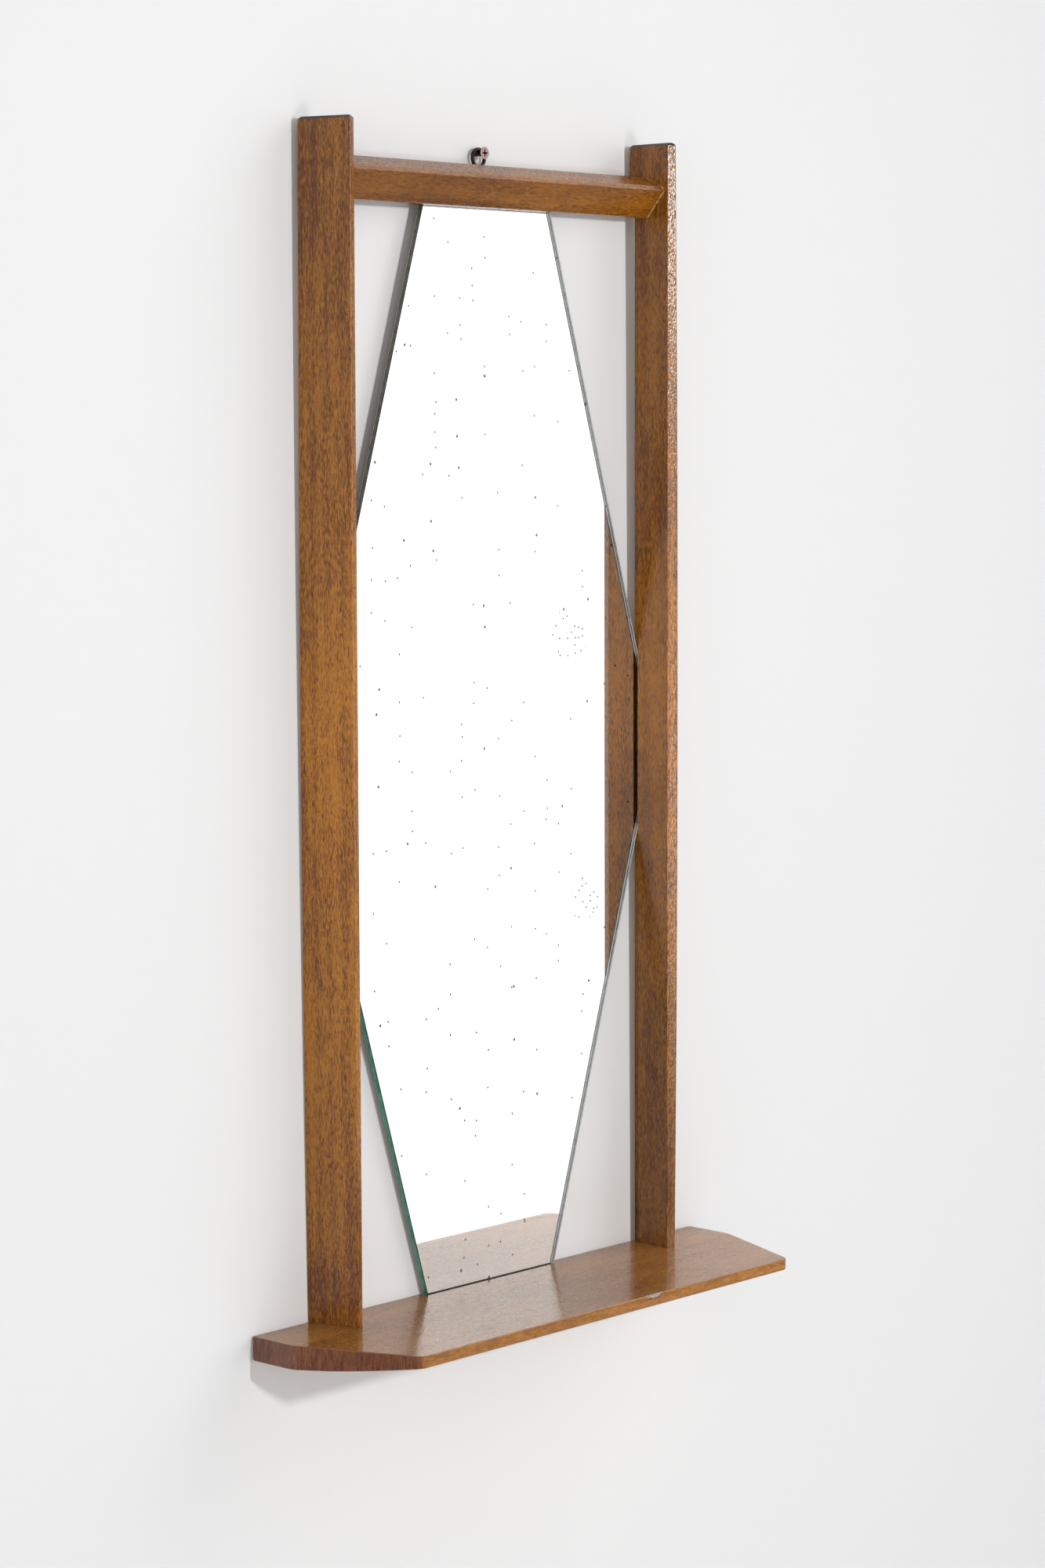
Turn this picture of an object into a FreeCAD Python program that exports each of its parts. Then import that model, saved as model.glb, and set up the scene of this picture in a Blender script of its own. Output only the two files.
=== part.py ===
import FreeCAD, Part
import Sketcher
import os
import re

# A wall mirror with a shelf: two tapered posts stand on the shelf, a rail joins them near the top, and an
# eight-sided glass sits in rebates behind all four. Millimetres, +X right, +Y into the wall, +Z up.
# The origin is the hanging point, where the hanging screw leaves the wall. The frame's back plane stands
# off the wall there by the eye that is screwed to it and a gap behind the eye.

SIZES = {
    # posts: the section is taken at mid-height, where the bowed outer face stands furthest out
    "InnerWidth": 395.0,
    "PostHeight": 1000.0,
    "PostBack": 23.2,
    "PostFront": 9.7,
    "PostDepth": 49.0,
    "PostFrontFall": 4.6,
    "PostBow": 2.4,
    "PostChamfer": 2.2,
    "PostArris": 0.8,
    "PostAboveRail": 29.7,
    # rail: depths run forward from its back, drops down from its top
    "RailTall": 35.8,
    "RailFlat": 20.7,
    "RailSlopeRun": 18.3,
    "RailSlopeDrop": 8.9,
    "RailNoseOut": 2.2,
    "RailNoseDrop": 3.9,
    "RailFoot": 21.6,
    "RailFootRound": 3.0,
    "RailArris": 0.7,
    # shelf
    "ShelfOverhang": 62.3,
    "ShelfCutBack": 45.5,
    "ShelfDepth": 153.0,
    "ShelfSquare": 47.0,
    "ShelfThick": 20.4,
    "ShelfFrontThick": 10.2,
    "ShelfBelly": 1.5,
    "ShelfBackRound": 3.0,
    "ShelfSideRound": 30.0,
    "ShelfFrontRound": 8.0,
    "ShelfArris": 0.8,
    # glass: edges and heights are those that show between the wooden pieces
    "GlassThick": 5.0,
    "GlassTopEdge": 161.0,
    "GlassBottomEdge": 164.0,
    "GlassSideTop": 547.5,
    "GlassSideBottom": 381.5,
    "GlassSeat": 6.0,
    "GlassEdgeGap": 1.0,
    "GlassArris": 0.5,
    "GlassPlay": 0.2,
    # beads that hold the glass in the rebates, and their pins
    "BeadThick": 4.0,
    "SideBeadInset": 25.0,
    "LevelBeadInset": 10.5,
    "BeadArris": 1.0,
    "PinWidth": 1.5,
    "PinLength": 15.0,
    "PinPoint": 3.0,
    "PinInset": 18.0,
    # dowels between rail and posts
    "DowelWidth": 8.0,
    "DowelInPost": 9.0,
    "DowelInRail": 24.0,
    "DowelBackDepth": 12.0,
    "DowelBackRise": 21.5,
    "DowelFrontDepth": 26.0,
    "DowelFrontRise": 19.5,
    # countersunk screws up through the shelf into the posts
    "ShelfScrewWidth": 4.0,
    "ShelfScrewHead": 8.0,
    "ShelfScrewLength": 50.0,
    "ShelfScrewTip": 4.0,
    "ShelfScrewBackIn": 8.6,
    "ShelfScrewBackDepth": 15.5,
    "ShelfScrewFrontIn": 6.0,
    "ShelfScrewFrontDepth": 34.0,
    # hanging eye on the rail's back, and the two screws that hold it
    "EyeBore": 12.6,
    "EyeBand": 2.4,
    "EyeThick": 2.8,
    "EyeRise": 8.2,
    "EyeArris": 0.5,
    "EyeWallGap": 3.8,
    "TailWidth": 10.0,
    "TailLength": 24.0,
    "TailEndRise": 4.0,
    "TailHoleTop": 7.0,
    "TailHolePitch": 11.0,
    "EyeScrewWidth": 3.0,
    "EyeScrewHead": 6.0,
    "EyeScrewLength": 16.0,
    "EyeScrewTip": 3.0,
    # hanging screw, through the eye into the wall
    "HangScrewShank": 5.0,
    "HangScrewThread": 4.6,
    "HangScrewHead": 10.4,
    "HangScrewLip": 0.5,
    "HangScrewHeadGap": 2.8,
    "HangScrewInWall": 34.0,
    "HangScrewTip": 5.0,
    "RecessSpan": 6.2,
    "RecessWidth": 1.5,
    "RecessDepth": 2.0,
    "SlotWidth": 1.0,
    "SlotDepth": 1.0,
    # clearance round every dowel, pin and screw, and beyond the end of a blind hole
    "FitGap": 0.1,
    "HoleEndGap": 1.0,
}

# Places and sizes that follow from those above. Heights are counted from the shelf's top, and depths from the
# frame's back plane.
FOLLOWING = {
    "HalfWidth": "(InnerWidth / 2)",
    "PostInnerDepth": "(PostDepth - PostFrontFall)",
    "RailTop": "(PostHeight - PostAboveRail)",
    "RailUnderside": "(RailTop - RailTall)",
    "SlopeEnd": "(RailFlat + RailSlopeRun)",
    "SlopeEndHeight": "(RailTop - RailSlopeDrop)",
    "NoseDepth": "(SlopeEnd + RailNoseOut)",
    "NoseHeight": "(SlopeEndHeight - RailNoseDrop)",
    "RebateDepth": "(GlassThick + GlassPlay + BeadThick)",
    "RebateWidth": "(GlassSeat + GlassEdgeGap)",
    "ShelfHalf": "(HalfWidth + PostBack + ShelfOverhang)",
    "ShelfFrontHalf": "(ShelfHalf - ShelfCutBack)",
    "UpperSlope": "((RailUnderside - GlassSideTop) / (HalfWidth - GlassTopEdge / 2))",
    "LowerSlope": "(GlassSideBottom / (HalfWidth - GlassBottomEdge / 2))",
    "SideMiddle": "((GlassSideTop + GlassSideBottom) / 2)",
    "SideBeadLength": "(GlassSideTop - GlassSideBottom - 2 * SideBeadInset)",
    "LevelBeadLength": "(GlassTopEdge - 2 * LevelBeadInset)",
    "SidePinStep": "(SideBeadLength / 2 - PinInset)",
    "LevelPinStep": "(LevelBeadLength / 2 - PinInset)",
    "PinDepth": "(BeadThick / 2)",
    "DowelLength": "(DowelInRail + DowelInPost)",
    "EyeOuter": "(EyeBore + 2 * EyeBand)",
    "EyeCentre": "(RailTop + EyeRise)",
    "NeckDrop": "sqrt((EyeOuter / 2)^2 - (TailWidth / 2)^2)",
    "TailBend": "(RailTop - TailLength + TailEndRise)",
    "UpperTailHole": "(RailTop - TailHoleTop)",
    "LowerTailHole": "(UpperTailHole - TailHolePitch)",
    "FrameStand": "(EyeThick + EyeWallGap)",
    "HeadCone": "((HangScrewHead - HangScrewShank) / 2)",
    "ShankStart": "(HangScrewTip + HangScrewInWall)",
    "ConeStart": "(ShankStart + FrameStand + HangScrewHeadGap)",
    "LipStart": "(ConeStart + HeadCone)",
    "HangScrewLength": "(LipStart + HangScrewLip)",
    "HangHeight": "(EyeCentre + EyeBore / 2 - HangScrewShank / 2 - FitGap)",
}
DOWELS = [("DowelBackDepth", "DowelBackRise"), ("DowelFrontDepth", "DowelFrontRise")]
SHELF_SCREWS = [("ShelfScrewBackIn", "ShelfScrewBackDepth"), ("ShelfScrewFrontIn", "ShelfScrewFrontDepth")]
TAIL_HOLES = ["UpperTailHole", "LowerTailHole"]

UP = FreeCAD.Rotation()
DOWN = FreeCAD.Rotation(FreeCAD.Vector(1, 0, 0), 180)
RIGHT = FreeCAD.Rotation(FreeCAD.Vector(0, 1, 0), 90)
LEFT = FreeCAD.Rotation(FreeCAD.Vector(0, 1, 0), -90)
FORWARD = FreeCAD.Rotation(FreeCAD.Vector(1, 0, 0), 90)
BACKWARD = FreeCAD.Rotation(FreeCAD.Vector(1, 0, 0), -90)

doc = FreeCAD.newDocument("WallMirror")
sheet = doc.addObject("Spreadsheet::Sheet", "Sizes")
for row, (alias, size) in enumerate(SIZES.items(), 1):
    sheet.set("A%d" % row, alias)
    sheet.set("B%d" % row, str(size))
    sheet.setAlias("B%d" % row, alias)
doc.recompute()

pieces = []


def sized(text):
    """The expression with what follows worked out and each size's name pointing at its cell."""
    def cell(found):
        name = found.group(0)
        return sized(FOLLOWING[name]) if name in FOLLOWING else "Sizes." + name
    return re.sub(r"\b[A-Z]\w+", cell, text)


def value(text):
    return float(sheet.evalExpression(sized(text)))


def new_body(name):
    body = doc.addObject("PartDesign::Body", name)
    body.Label = name
    return body


def keep(piece, name):
    """Make an object a finished piece of the mirror, under its own name."""
    piece.Label = name
    pieces.append(piece)
    return piece


def hang(piece):
    """Put a piece drawn from the shelf's top and the back plane at its place about the hanging point."""
    piece.setExpression("Placement.Base.y", sized("-FrameStand"))
    piece.setExpression("Placement.Base.z", sized("-HangHeight"))
    return piece


def new_sketch(body, role, lift="0"):
    """A sketch on one of the body's own planes, lifted along the plane's normal."""
    plane = [f for f in body.Origin.OriginFeatures if f.Role == role][0]
    sketch = body.newObject("Sketcher::SketchObject", "Sketch")
    sketch.AttachmentSupport = [(plane, "")]
    sketch.MapMode = "FlatFace"
    sketch.setExpression("AttachmentOffset.Base.z", sized(lift))
    return sketch


def bind(sketch, constraint, text):
    index = sketch.addConstraint(constraint)
    sketch.setExpression("Constraints[%d]" % index, sized(text))


def pin_point(sketch, curve, end, across, up):
    """Hold a curve's end at a place given by two expressions."""
    bind(sketch, Sketcher.Constraint("DistanceX", -1, 1, curve, end, value(across)), across)
    bind(sketch, Sketcher.Constraint("DistanceY", -1, 1, curve, end, value(up)), up)


def outline(sketch, corners, bulges={}):
    """A closed outline. A side named in bulges is an arc, given by its rise to the right of the chord."""
    points = [FreeCAD.Vector(value(x), value(y), 0) for x, y in corners]
    count = len(points)
    first = sketch.GeometryCount
    starts = []
    for i, here in enumerate(points):
        there = points[(i + 1) % count]
        if i not in bulges:
            sketch.addGeometry(Part.LineSegment(here, there), False)
            starts.append(1)
            continue
        chord = there - here
        side = FreeCAD.Vector(chord.y, -chord.x, 0).normalize()
        crown = (here + there) * 0.5 + side * value(bulges[i])
        sketch.addGeometry(Part.Arc(here, crown, there), False)
        at_start = sketch.getPoint(first + i, 1).distanceToPoint(here) < chord.Length / 2
        starts.append(1 if at_start else 2)
    for i in range(count):
        after = (i + 1) % count
        joint = (first + i, 3 - starts[i], first + after, starts[after])
        sketch.addConstraint(Sketcher.Constraint("Coincident", *joint))
        pin_point(sketch, first + i, starts[i], *corners[i])
    for i, rise in bulges.items():
        (x0, y0), (x1, y1) = corners[i], corners[(i + 1) % count]
        chord = "(((%s) - (%s))^2 + ((%s) - (%s))^2)" % (x1, x0, y1, y0)
        radius = "abs(%s / 8 / (%s) + (%s) / 2)" % (chord, rise, rise)
        bind(sketch, Sketcher.Constraint("Radius", first + i, value(radius)), radius)


def circle(sketch, across, up, width):
    centre = FreeCAD.Vector(value(across), value(up), 0)
    upright = FreeCAD.Vector(0, 0, 1)
    index = sketch.addGeometry(Part.Circle(centre, upright, value(width) / 2), False)
    pin_point(sketch, index, 3, across, up)
    bind(sketch, Sketcher.Constraint("Diameter", index, value(width)), width)


def pin_hole(sketch, across, up):
    """The square hole of a bead's pin."""
    half = "(PinWidth / 2 + FitGap)"
    left, right = ("%s %s %s" % (across, sign, half) for sign in "-+")
    low, high = ("%s %s %s" % (up, sign, half) for sign in "-+")
    outline(sketch, [(left, low), (right, low), (right, high), (left, high)])


def pad(body, sketch, length, back=False, both=False):
    feature = body.newObject("PartDesign::Pad", "Pad")
    feature.Profile = sketch
    feature.Reversed = back
    feature.SideType = "Symmetric" if both else "One side"
    feature.setExpression("Length", sized(length))
    doc.recompute()


def pocket(body, sketch, length=None, onward=False):
    """Cut a sketch out of the body: back from its plane, onward from it, or with no length both ways."""
    before = body.Shape.Volume
    feature = body.newObject("PartDesign::Pocket", "Pocket")
    feature.Profile = sketch
    feature.Reversed = onward
    if length is None:
        feature.Type = "ThroughAll"
        feature.SideType = "Symmetric"
    else:
        feature.setExpression("Length", sized(length))
    doc.recompute()
    if not feature.Shape.Volume < before - 1e-6:
        raise RuntimeError("a cut in %s removed nothing" % body.Label)


def ease(body, kind, size, test):
    """Round (Fillet) or bevel (Chamfer) the edges that pass a test of the edge and its end points."""
    before = body.Tip
    names = []
    for i, edge in enumerate(before.Shape.Edges, 1):
        if test(edge, [v.Point for v in edge.Vertexes]):
            names.append("Edge%d" % i)
    if not names:
        raise RuntimeError("no edge of %s to ease" % body.Label)
    feature = body.newObject("PartDesign::" + kind, kind)
    feature.Base = (before, names)
    feature.setExpression("Radius" if kind == "Fillet" else "Size", sized(size))
    doc.recompute()


def near(a, b):
    return abs(a - b) < 1e-4


def turned(name, corners):
    """A round piece about Z, from its half section: pairs of radius and height, from axis to axis."""
    body = new_body(name)
    sketch = new_sketch(body, "XZ_Plane")
    outline(sketch, corners)
    feature = body.newObject("PartDesign::Revolution", "Revolution")
    feature.Profile = sketch
    feature.ReferenceAxis = (sketch, ["V_Axis"])
    feature.Angle = 360
    doc.recompute()
    return body


def place(piece, rotation, x, y, z):
    """Turn a piece made along Z and set its base at x, y from the back plane, and z above the shelf's top."""
    piece.Placement = FreeCAD.Placement(FreeCAD.Vector(), rotation)
    piece.setExpression("Placement.Base.x", sized(x))
    piece.setExpression("Placement.Base.y", sized("%s - FrameStand" % y))
    piece.setExpression("Placement.Base.z", sized("%s - HangHeight" % z))
    return piece


def group(name, members):
    """One piece of several like solids."""
    compound = doc.addObject("Part::Compound", name)
    compound.Links = members
    keep(compound, name)


def mirrored(name, source):
    """The same piece on the other side of the middle plane."""
    copy = doc.addObject("Part::Mirroring", name)
    copy.Source = source
    copy.Normal = FreeCAD.Vector(1, 0, 0)
    keep(copy, name)


# Posts. The inner face is square to the wall, the outer one leans in towards a narrow front face and is
# bowed from end to end. A rebate for the glass runs up the inner back arris as far as the rail's own rebate.
post = hang(new_body("right_post"))
section = new_sketch(post, "XY_Plane")
outline(section, [
    ("HalfWidth", "0"),
    ("HalfWidth", "-PostInnerDepth"),
    ("HalfWidth + PostFront + PostBow", "-PostInnerDepth - PostFrontFall * (1 + PostBow / PostFront)"),
    ("HalfWidth + PostBack + PostBow", "0"),
])
pad(post, section, "PostHeight")

bow = new_sketch(post, "XZ_Plane")
bow.AttachmentOffset = FreeCAD.Placement(FreeCAD.Vector(), FreeCAD.Rotation(FreeCAD.Vector(0, 1, 0), -15))
bow.setExpression("AttachmentOffset.Base.x", sized("HalfWidth + PostBack"))
bow.setExpression("AttachmentOffset.Rotation.Angle", sized("-atan((PostBack - PostFront) / PostDepth)"))
outline(bow, [
    ("-PostBow", "0"),
    ("PostBack", "0"),
    ("PostBack", "PostHeight"),
    ("-PostBow", "PostHeight"),
], {3: "-PostBow"})
pocket(post, bow)

rebate = new_sketch(post, "XY_Plane")
outline(rebate, [
    ("HalfWidth", "0"),
    ("HalfWidth", "-RebateDepth"),
    ("HalfWidth + RebateWidth", "-RebateDepth"),
    ("HalfWidth + RebateWidth", "0"),
])
pocket(post, rebate, "RailUnderside + RebateWidth", onward=True)


def rims_post_top(edge, ends):
    return all(near(p.z, value("PostHeight")) for p in ends)


def runs_up_post(edge, ends):
    """An edge that runs the whole height of the post, other than the rebate's."""
    whole = abs(ends[0].z - ends[-1].z) > value("PostHeight - 2 * PostChamfer")
    inner_back = near(ends[0].x, value("HalfWidth")) and ends[0].y > -value("PostInnerDepth / 2")
    return whole and not inner_back


ease(post, "Chamfer", "PostChamfer", rims_post_top)
ease(post, "Fillet", "PostArris", runs_up_post)

sockets = new_sketch(post, "YZ_Plane", "HalfWidth")
for depth, rise in DOWELS:
    circle(sockets, "-" + depth, "RailUnderside + " + rise, "DowelWidth + 2 * FitGap")
pocket(post, sockets, "DowelInPost + HoleEndGap", onward=True)

pilots = new_sketch(post, "XY_Plane")
for inward, depth in SHELF_SCREWS:
    circle(pilots, "HalfWidth + " + inward, "-" + depth, "ShelfScrewWidth + 2 * FitGap")
pocket(post, pilots, "ShelfScrewLength - ShelfThick + HoleEndGap", onward=True)

pin_holes = new_sketch(post, "YZ_Plane", "HalfWidth + RebateWidth")
for sign in "+-":
    pin_hole(pin_holes, "-PinDepth", "SideMiddle %s SidePinStep" % sign)
pocket(post, pin_holes, "PinLength - RebateWidth + HoleEndGap", onward=True)
keep(post, "right_post")
mirrored("left_post", post)

# Rail. Its section has a flat top, a slope down to a bevelled nose, and a front that falls back to a rounded
# foot. The back lower arris is rebated for the glass, and the hanging eye is screwed to the back.
rail = hang(new_body("top_rail"))
section = new_sketch(rail, "YZ_Plane")
outline(section, [
    ("-RebateDepth", "RailUnderside"),
    ("-RebateDepth", "RailUnderside + RebateWidth"),
    ("0", "RailUnderside + RebateWidth"),
    ("0", "RailTop"),
    ("-RailFlat", "RailTop"),
    ("-SlopeEnd", "SlopeEndHeight"),
    ("-NoseDepth", "NoseHeight"),
    ("-RailFoot", "RailUnderside"),
])
pad(rail, section, "InnerWidth", both=True)


def runs_along_rail(depth, height):
    """A test for the rail's long edge at a depth and a height."""
    def test(edge, ends):
        level = abs(ends[0].x - ends[-1].x) > value("HalfWidth")
        return level and near(ends[0].y, -value(depth)) and near(ends[0].z, value(height))
    return test


ease(rail, "Fillet", "RailFootRound", runs_along_rail("RailFoot", "RailUnderside"))
for depth, height in (("0", "RailTop"), ("RailFlat", "RailTop"),
                      ("SlopeEnd", "SlopeEndHeight"), ("NoseDepth", "NoseHeight")):
    ease(rail, "Fillet", "RailArris", runs_along_rail(depth, height))

for end, onward in (("HalfWidth", False), ("-HalfWidth", True)):
    sockets = new_sketch(rail, "YZ_Plane", end)
    for depth, rise in DOWELS:
        circle(sockets, "-" + depth, "RailUnderside + " + rise, "DowelWidth + 2 * FitGap")
    pocket(rail, sockets, "DowelInRail + HoleEndGap", onward=onward)

pilots = new_sketch(rail, "XZ_Plane")
for height in TAIL_HOLES:
    circle(pilots, "0", height, "EyeScrewWidth + 2 * FitGap")
pocket(rail, pilots, "EyeScrewLength - EyeThick + HoleEndGap", onward=True)

pin_holes = new_sketch(rail, "XY_Plane", "RailUnderside + RebateWidth")
for across in ("-LevelPinStep", "LevelPinStep"):
    pin_hole(pin_holes, across, "-PinDepth")
pocket(rail, pin_holes, "PinLength - RebateWidth + HoleEndGap", onward=True)
keep(rail, "top_rail")

# Shelf. The ends run square to the wall and are then cut back to the front corners. The underside keeps the
# full thickness as far as that kink and rises from there, slightly bellied, to a thin front edge.
shelf = hang(new_body("shelf"))
plan = new_sketch(shelf, "XY_Plane")
outline(plan, [
    ("-ShelfHalf", "0"),
    ("-ShelfHalf", "-ShelfSquare"),
    ("-ShelfFrontHalf", "-ShelfDepth"),
    ("ShelfFrontHalf", "-ShelfDepth"),
    ("ShelfHalf", "-ShelfSquare"),
    ("ShelfHalf", "0"),
])
pad(shelf, plan, "ShelfThick", back=True)


def stands_at(across, depth):
    """A test for the two upright edges at a distance from the middle and a depth."""
    def test(edge, ends):
        upright = abs(ends[0].z - ends[-1].z) > value("ShelfThick / 2")
        return upright and near(abs(ends[0].x), value(across)) and near(ends[0].y, -value(depth))
    return test


ease(shelf, "Fillet", "ShelfBackRound", stands_at("ShelfHalf", "0"))
ease(shelf, "Fillet", "ShelfSideRound", stands_at("ShelfHalf", "ShelfSquare"))
ease(shelf, "Fillet", "ShelfFrontRound", stands_at("ShelfFrontHalf", "ShelfDepth"))

underside = new_sketch(shelf, "YZ_Plane")
outline(underside, [
    ("-ShelfSquare", "-ShelfThick"),
    ("-ShelfDepth", "-ShelfFrontThick"),
    ("-ShelfDepth", "-ShelfThick"),
], {0: "-ShelfBelly"})
pocket(shelf, underside)


def rims_shelf_top(edge, ends):
    """An edge of the shelf's top, apart from the one along the wall."""
    return all(near(p.z, 0) for p in ends) and not all(near(p.y, 0) for p in ends)


def rims_underside(edge, ends):
    """An edge round the shelf's underside, apart from the one along the wall and the kink across it."""
    under = all(p.z < 1e-4 - value("ShelfFrontThick") for p in ends)
    at_wall = all(near(p.y, 0) for p in ends)
    across = abs(ends[0].x - ends[-1].x) > value("HalfWidth") and near(ends[0].y, -value("ShelfSquare"))
    return under and not at_wall and not across


for rims in (rims_shelf_top, rims_underside):
    ease(shelf, "Chamfer", "ShelfArris", rims)

notch = new_sketch(shelf, "XY_Plane")
outline(notch, [
    ("-GlassBottomEdge / 2 - GlassEdgeGap", "0"),
    ("-GlassBottomEdge / 2 - GlassEdgeGap", "-RebateDepth"),
    ("GlassBottomEdge / 2 + GlassEdgeGap", "-RebateDepth"),
    ("GlassBottomEdge / 2 + GlassEdgeGap", "0"),
])
pocket(shelf, notch, "GlassSeat")

screw_holes = new_sketch(shelf, "XY_Plane")
for inward, depth in SHELF_SCREWS:
    circle(screw_holes, "HalfWidth + " + inward, "-" + depth, "ShelfScrewWidth + 2 * FitGap")
    circle(screw_holes, "-HalfWidth - " + inward, "-" + depth, "ShelfScrewWidth + 2 * FitGap")
pocket(shelf, screw_holes)


def rings_underside(edge, ends):
    """The lower rim of a screw hole."""
    return len(ends) == 1 and near(ends[0].z, -value("ShelfThick"))


ease(shelf, "Chamfer", "(ShelfScrewHead - ShelfScrewWidth) / 2", rings_underside)

pin_holes = new_sketch(shelf, "XY_Plane", "-GlassSeat")
for across in ("-LevelPinStep", "LevelPinStep"):
    pin_hole(pin_holes, across, "-PinDepth")
pocket(shelf, pin_holes, "PinLength - RebateWidth + HoleEndGap")
keep(shelf, "shelf")

# Glass. One eight-sided pane: its level and upright edges are hidden in the rebates, and its four long
# slanting edges stand free. It rests on the floor of the shelf's notch, against the front of the rebates.
glass = hang(new_body("mirror_glass"))
face = new_sketch(glass, "XZ_Plane", "RebateDepth")
lower_half = "(GlassBottomEdge / 2 - GlassSeat / LowerSlope)"
upper_half = "(GlassTopEdge / 2 - GlassSeat / UpperSlope)"
side_low = "GlassSideBottom + GlassSeat * LowerSlope"
side_high = "GlassSideTop - GlassSeat * UpperSlope"
outline(face, [
    ("-" + lower_half, "-GlassSeat"),
    (lower_half, "-GlassSeat"),
    ("HalfWidth + GlassSeat", side_low),
    ("HalfWidth + GlassSeat", side_high),
    (upper_half, "RailUnderside + GlassSeat"),
    ("-" + upper_half, "RailUnderside + GlassSeat"),
    ("-HalfWidth - GlassSeat", side_high),
    ("-HalfWidth - GlassSeat", side_low),
])
pad(glass, face, "GlassThick", back=True)
ease(glass, "Chamfer", "GlassArris", lambda edge, ends: near(ends[0].y, ends[1].y))
keep(glass, "mirror_glass")

# Beads. Wooden strips behind the glass, flush with the frame's back, each with one eased arris. Headless
# square pins hold them to the piece that the rebate is cut in.
bead = hang(new_body("right_bead"))
section = new_sketch(bead, "XY_Plane", "SideMiddle - SideBeadLength / 2")
outline(section, [
    ("HalfWidth", "0"),
    ("HalfWidth", "-BeadThick"),
    ("HalfWidth + RebateWidth - FitGap", "-BeadThick"),
    ("HalfWidth + RebateWidth - FitGap", "0"),
])
pad(bead, section, "SideBeadLength")
ease(bead, "Fillet", "BeadArris", lambda edge, ends: all(
    near(p.y, 0) and near(p.x, value("HalfWidth")) for p in ends))
pin_holes = new_sketch(bead, "YZ_Plane", "HalfWidth")
for sign in "+-":
    pin_hole(pin_holes, "-PinDepth", "SideMiddle %s SidePinStep" % sign)
pocket(bead, pin_holes, "RebateWidth", onward=True)
keep(bead, "right_bead")
mirrored("left_bead", bead)

for name, low, high, open_edge in (
    ("top_bead", "RailUnderside", "RailUnderside + RebateWidth - FitGap", "RailUnderside"),
    ("bottom_bead", "-GlassSeat", "GlassEdgeGap", "GlassEdgeGap"),
):
    bead = hang(new_body(name))
    section = new_sketch(bead, "YZ_Plane")
    outline(section, [("0", low), ("0", high), ("-BeadThick", high), ("-BeadThick", low)])
    pad(bead, section, "LevelBeadLength", both=True)
    ease(bead, "Fillet", "BeadArris", lambda edge, ends: all(
        near(p.y, 0) and near(p.z, value(open_edge)) for p in ends))
    pin_holes = new_sketch(bead, "XY_Plane", low)
    for across in ("-LevelPinStep", "LevelPinStep"):
        pin_hole(pin_holes, across, "-PinDepth")
    pocket(bead, pin_holes, "RebateWidth", onward=True)
    keep(bead, name)


def bead_pin():
    """A headless square pin along Z, its point at the bottom."""
    pin = new_body("Pin")
    side = new_sketch(pin, "XZ_Plane")
    outline(side, [
        ("0", "0"),
        ("PinWidth / 2", "PinPoint"),
        ("PinWidth / 2", "PinLength"),
        ("-PinWidth / 2", "PinLength"),
        ("-PinWidth / 2", "PinPoint"),
    ])
    pad(pin, side, "PinWidth", both=True)
    return pin


pins = []
for sign in "+-":
    height = "SideMiddle %s SidePinStep" % sign
    pins.append(place(bead_pin(), LEFT, "HalfWidth + PinLength", "-PinDepth", height))
    pins.append(place(bead_pin(), RIGHT, "-HalfWidth - PinLength", "-PinDepth", height))
for across in ("-LevelPinStep", "LevelPinStep"):
    pins.append(place(bead_pin(), DOWN, across, "-PinDepth", "RailUnderside + PinLength"))
    pins.append(place(bead_pin(), UP, across, "-PinDepth", "GlassEdgeGap - PinLength"))
group("bead_pins", pins)

# Dowels. Two at each end of the rail, glued into the rail and the post.
dowels = []
for rotation, base in ((RIGHT, "HalfWidth - DowelInRail"), (LEFT, "DowelInRail - HalfWidth")):
    for depth, rise in DOWELS:
        dowel = turned("Dowel", [
            ("0", "0"),
            ("DowelWidth / 2", "0"),
            ("DowelWidth / 2", "DowelLength"),
            ("0", "DowelLength"),
        ])
        dowels.append(place(dowel, rotation, base, "-" + depth, "RailUnderside + " + rise))
group("rail_dowels", dowels)


def flat_headed(name):
    """A slotted countersunk screw along Z, head at the top, with the sizes that bear its name."""
    width, head, length, tip = (name + size for size in ("Width", "Head", "Length", "Tip"))
    screw = turned(name, [
        ("0", "0"),
        (width + " / 2", tip),
        (width + " / 2", "%s - (%s - %s) / 2" % (length, head, width)),
        (head + " / 2", length),
        ("0", length),
    ])
    slot = new_sketch(screw, "XY_Plane", length)
    outline(slot, [
        ("-%s / 2" % head, "-SlotWidth / 2"),
        ("%s / 2" % head, "-SlotWidth / 2"),
        ("%s / 2" % head, "SlotWidth / 2"),
        ("-%s / 2" % head, "SlotWidth / 2"),
    ])
    pocket(screw, slot, "SlotDepth")
    return screw


# Shelf screws. Two under each post, heads flush with the shelf's underside.
screws = []
for inward, depth in SHELF_SCREWS:
    for across in ("HalfWidth + " + inward, "-HalfWidth - " + inward):
        screw = flat_headed("ShelfScrew")
        screws.append(place(screw, DOWN, across, "-" + depth, "ShelfScrewLength - ShelfThick"))
group("shelf_screws", screws)

# Hanging eye. A flat stamped plate on the rail's back: a ring that stands above the rail, and a tail with two
# countersunk holes for its own screws.
eye = hang(new_body("hanging_eye"))
face = new_sketch(eye, "XZ_Plane")
outline(face, [
    ("-TailWidth / 2", "TailBend"),
    ("TailWidth / 2", "TailBend"),
    ("TailWidth / 2", "EyeCentre - NeckDrop"),
    ("-TailWidth / 2", "EyeCentre - NeckDrop"),
], {0: "TailEndRise", 2: "EyeOuter / 2 + NeckDrop"})
circle(face, "0", "EyeCentre", "EyeBore")
for height in TAIL_HOLES:
    circle(face, "0", height, "EyeScrewWidth + 2 * FitGap")
pad(eye, face, "EyeThick", back=True)


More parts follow.
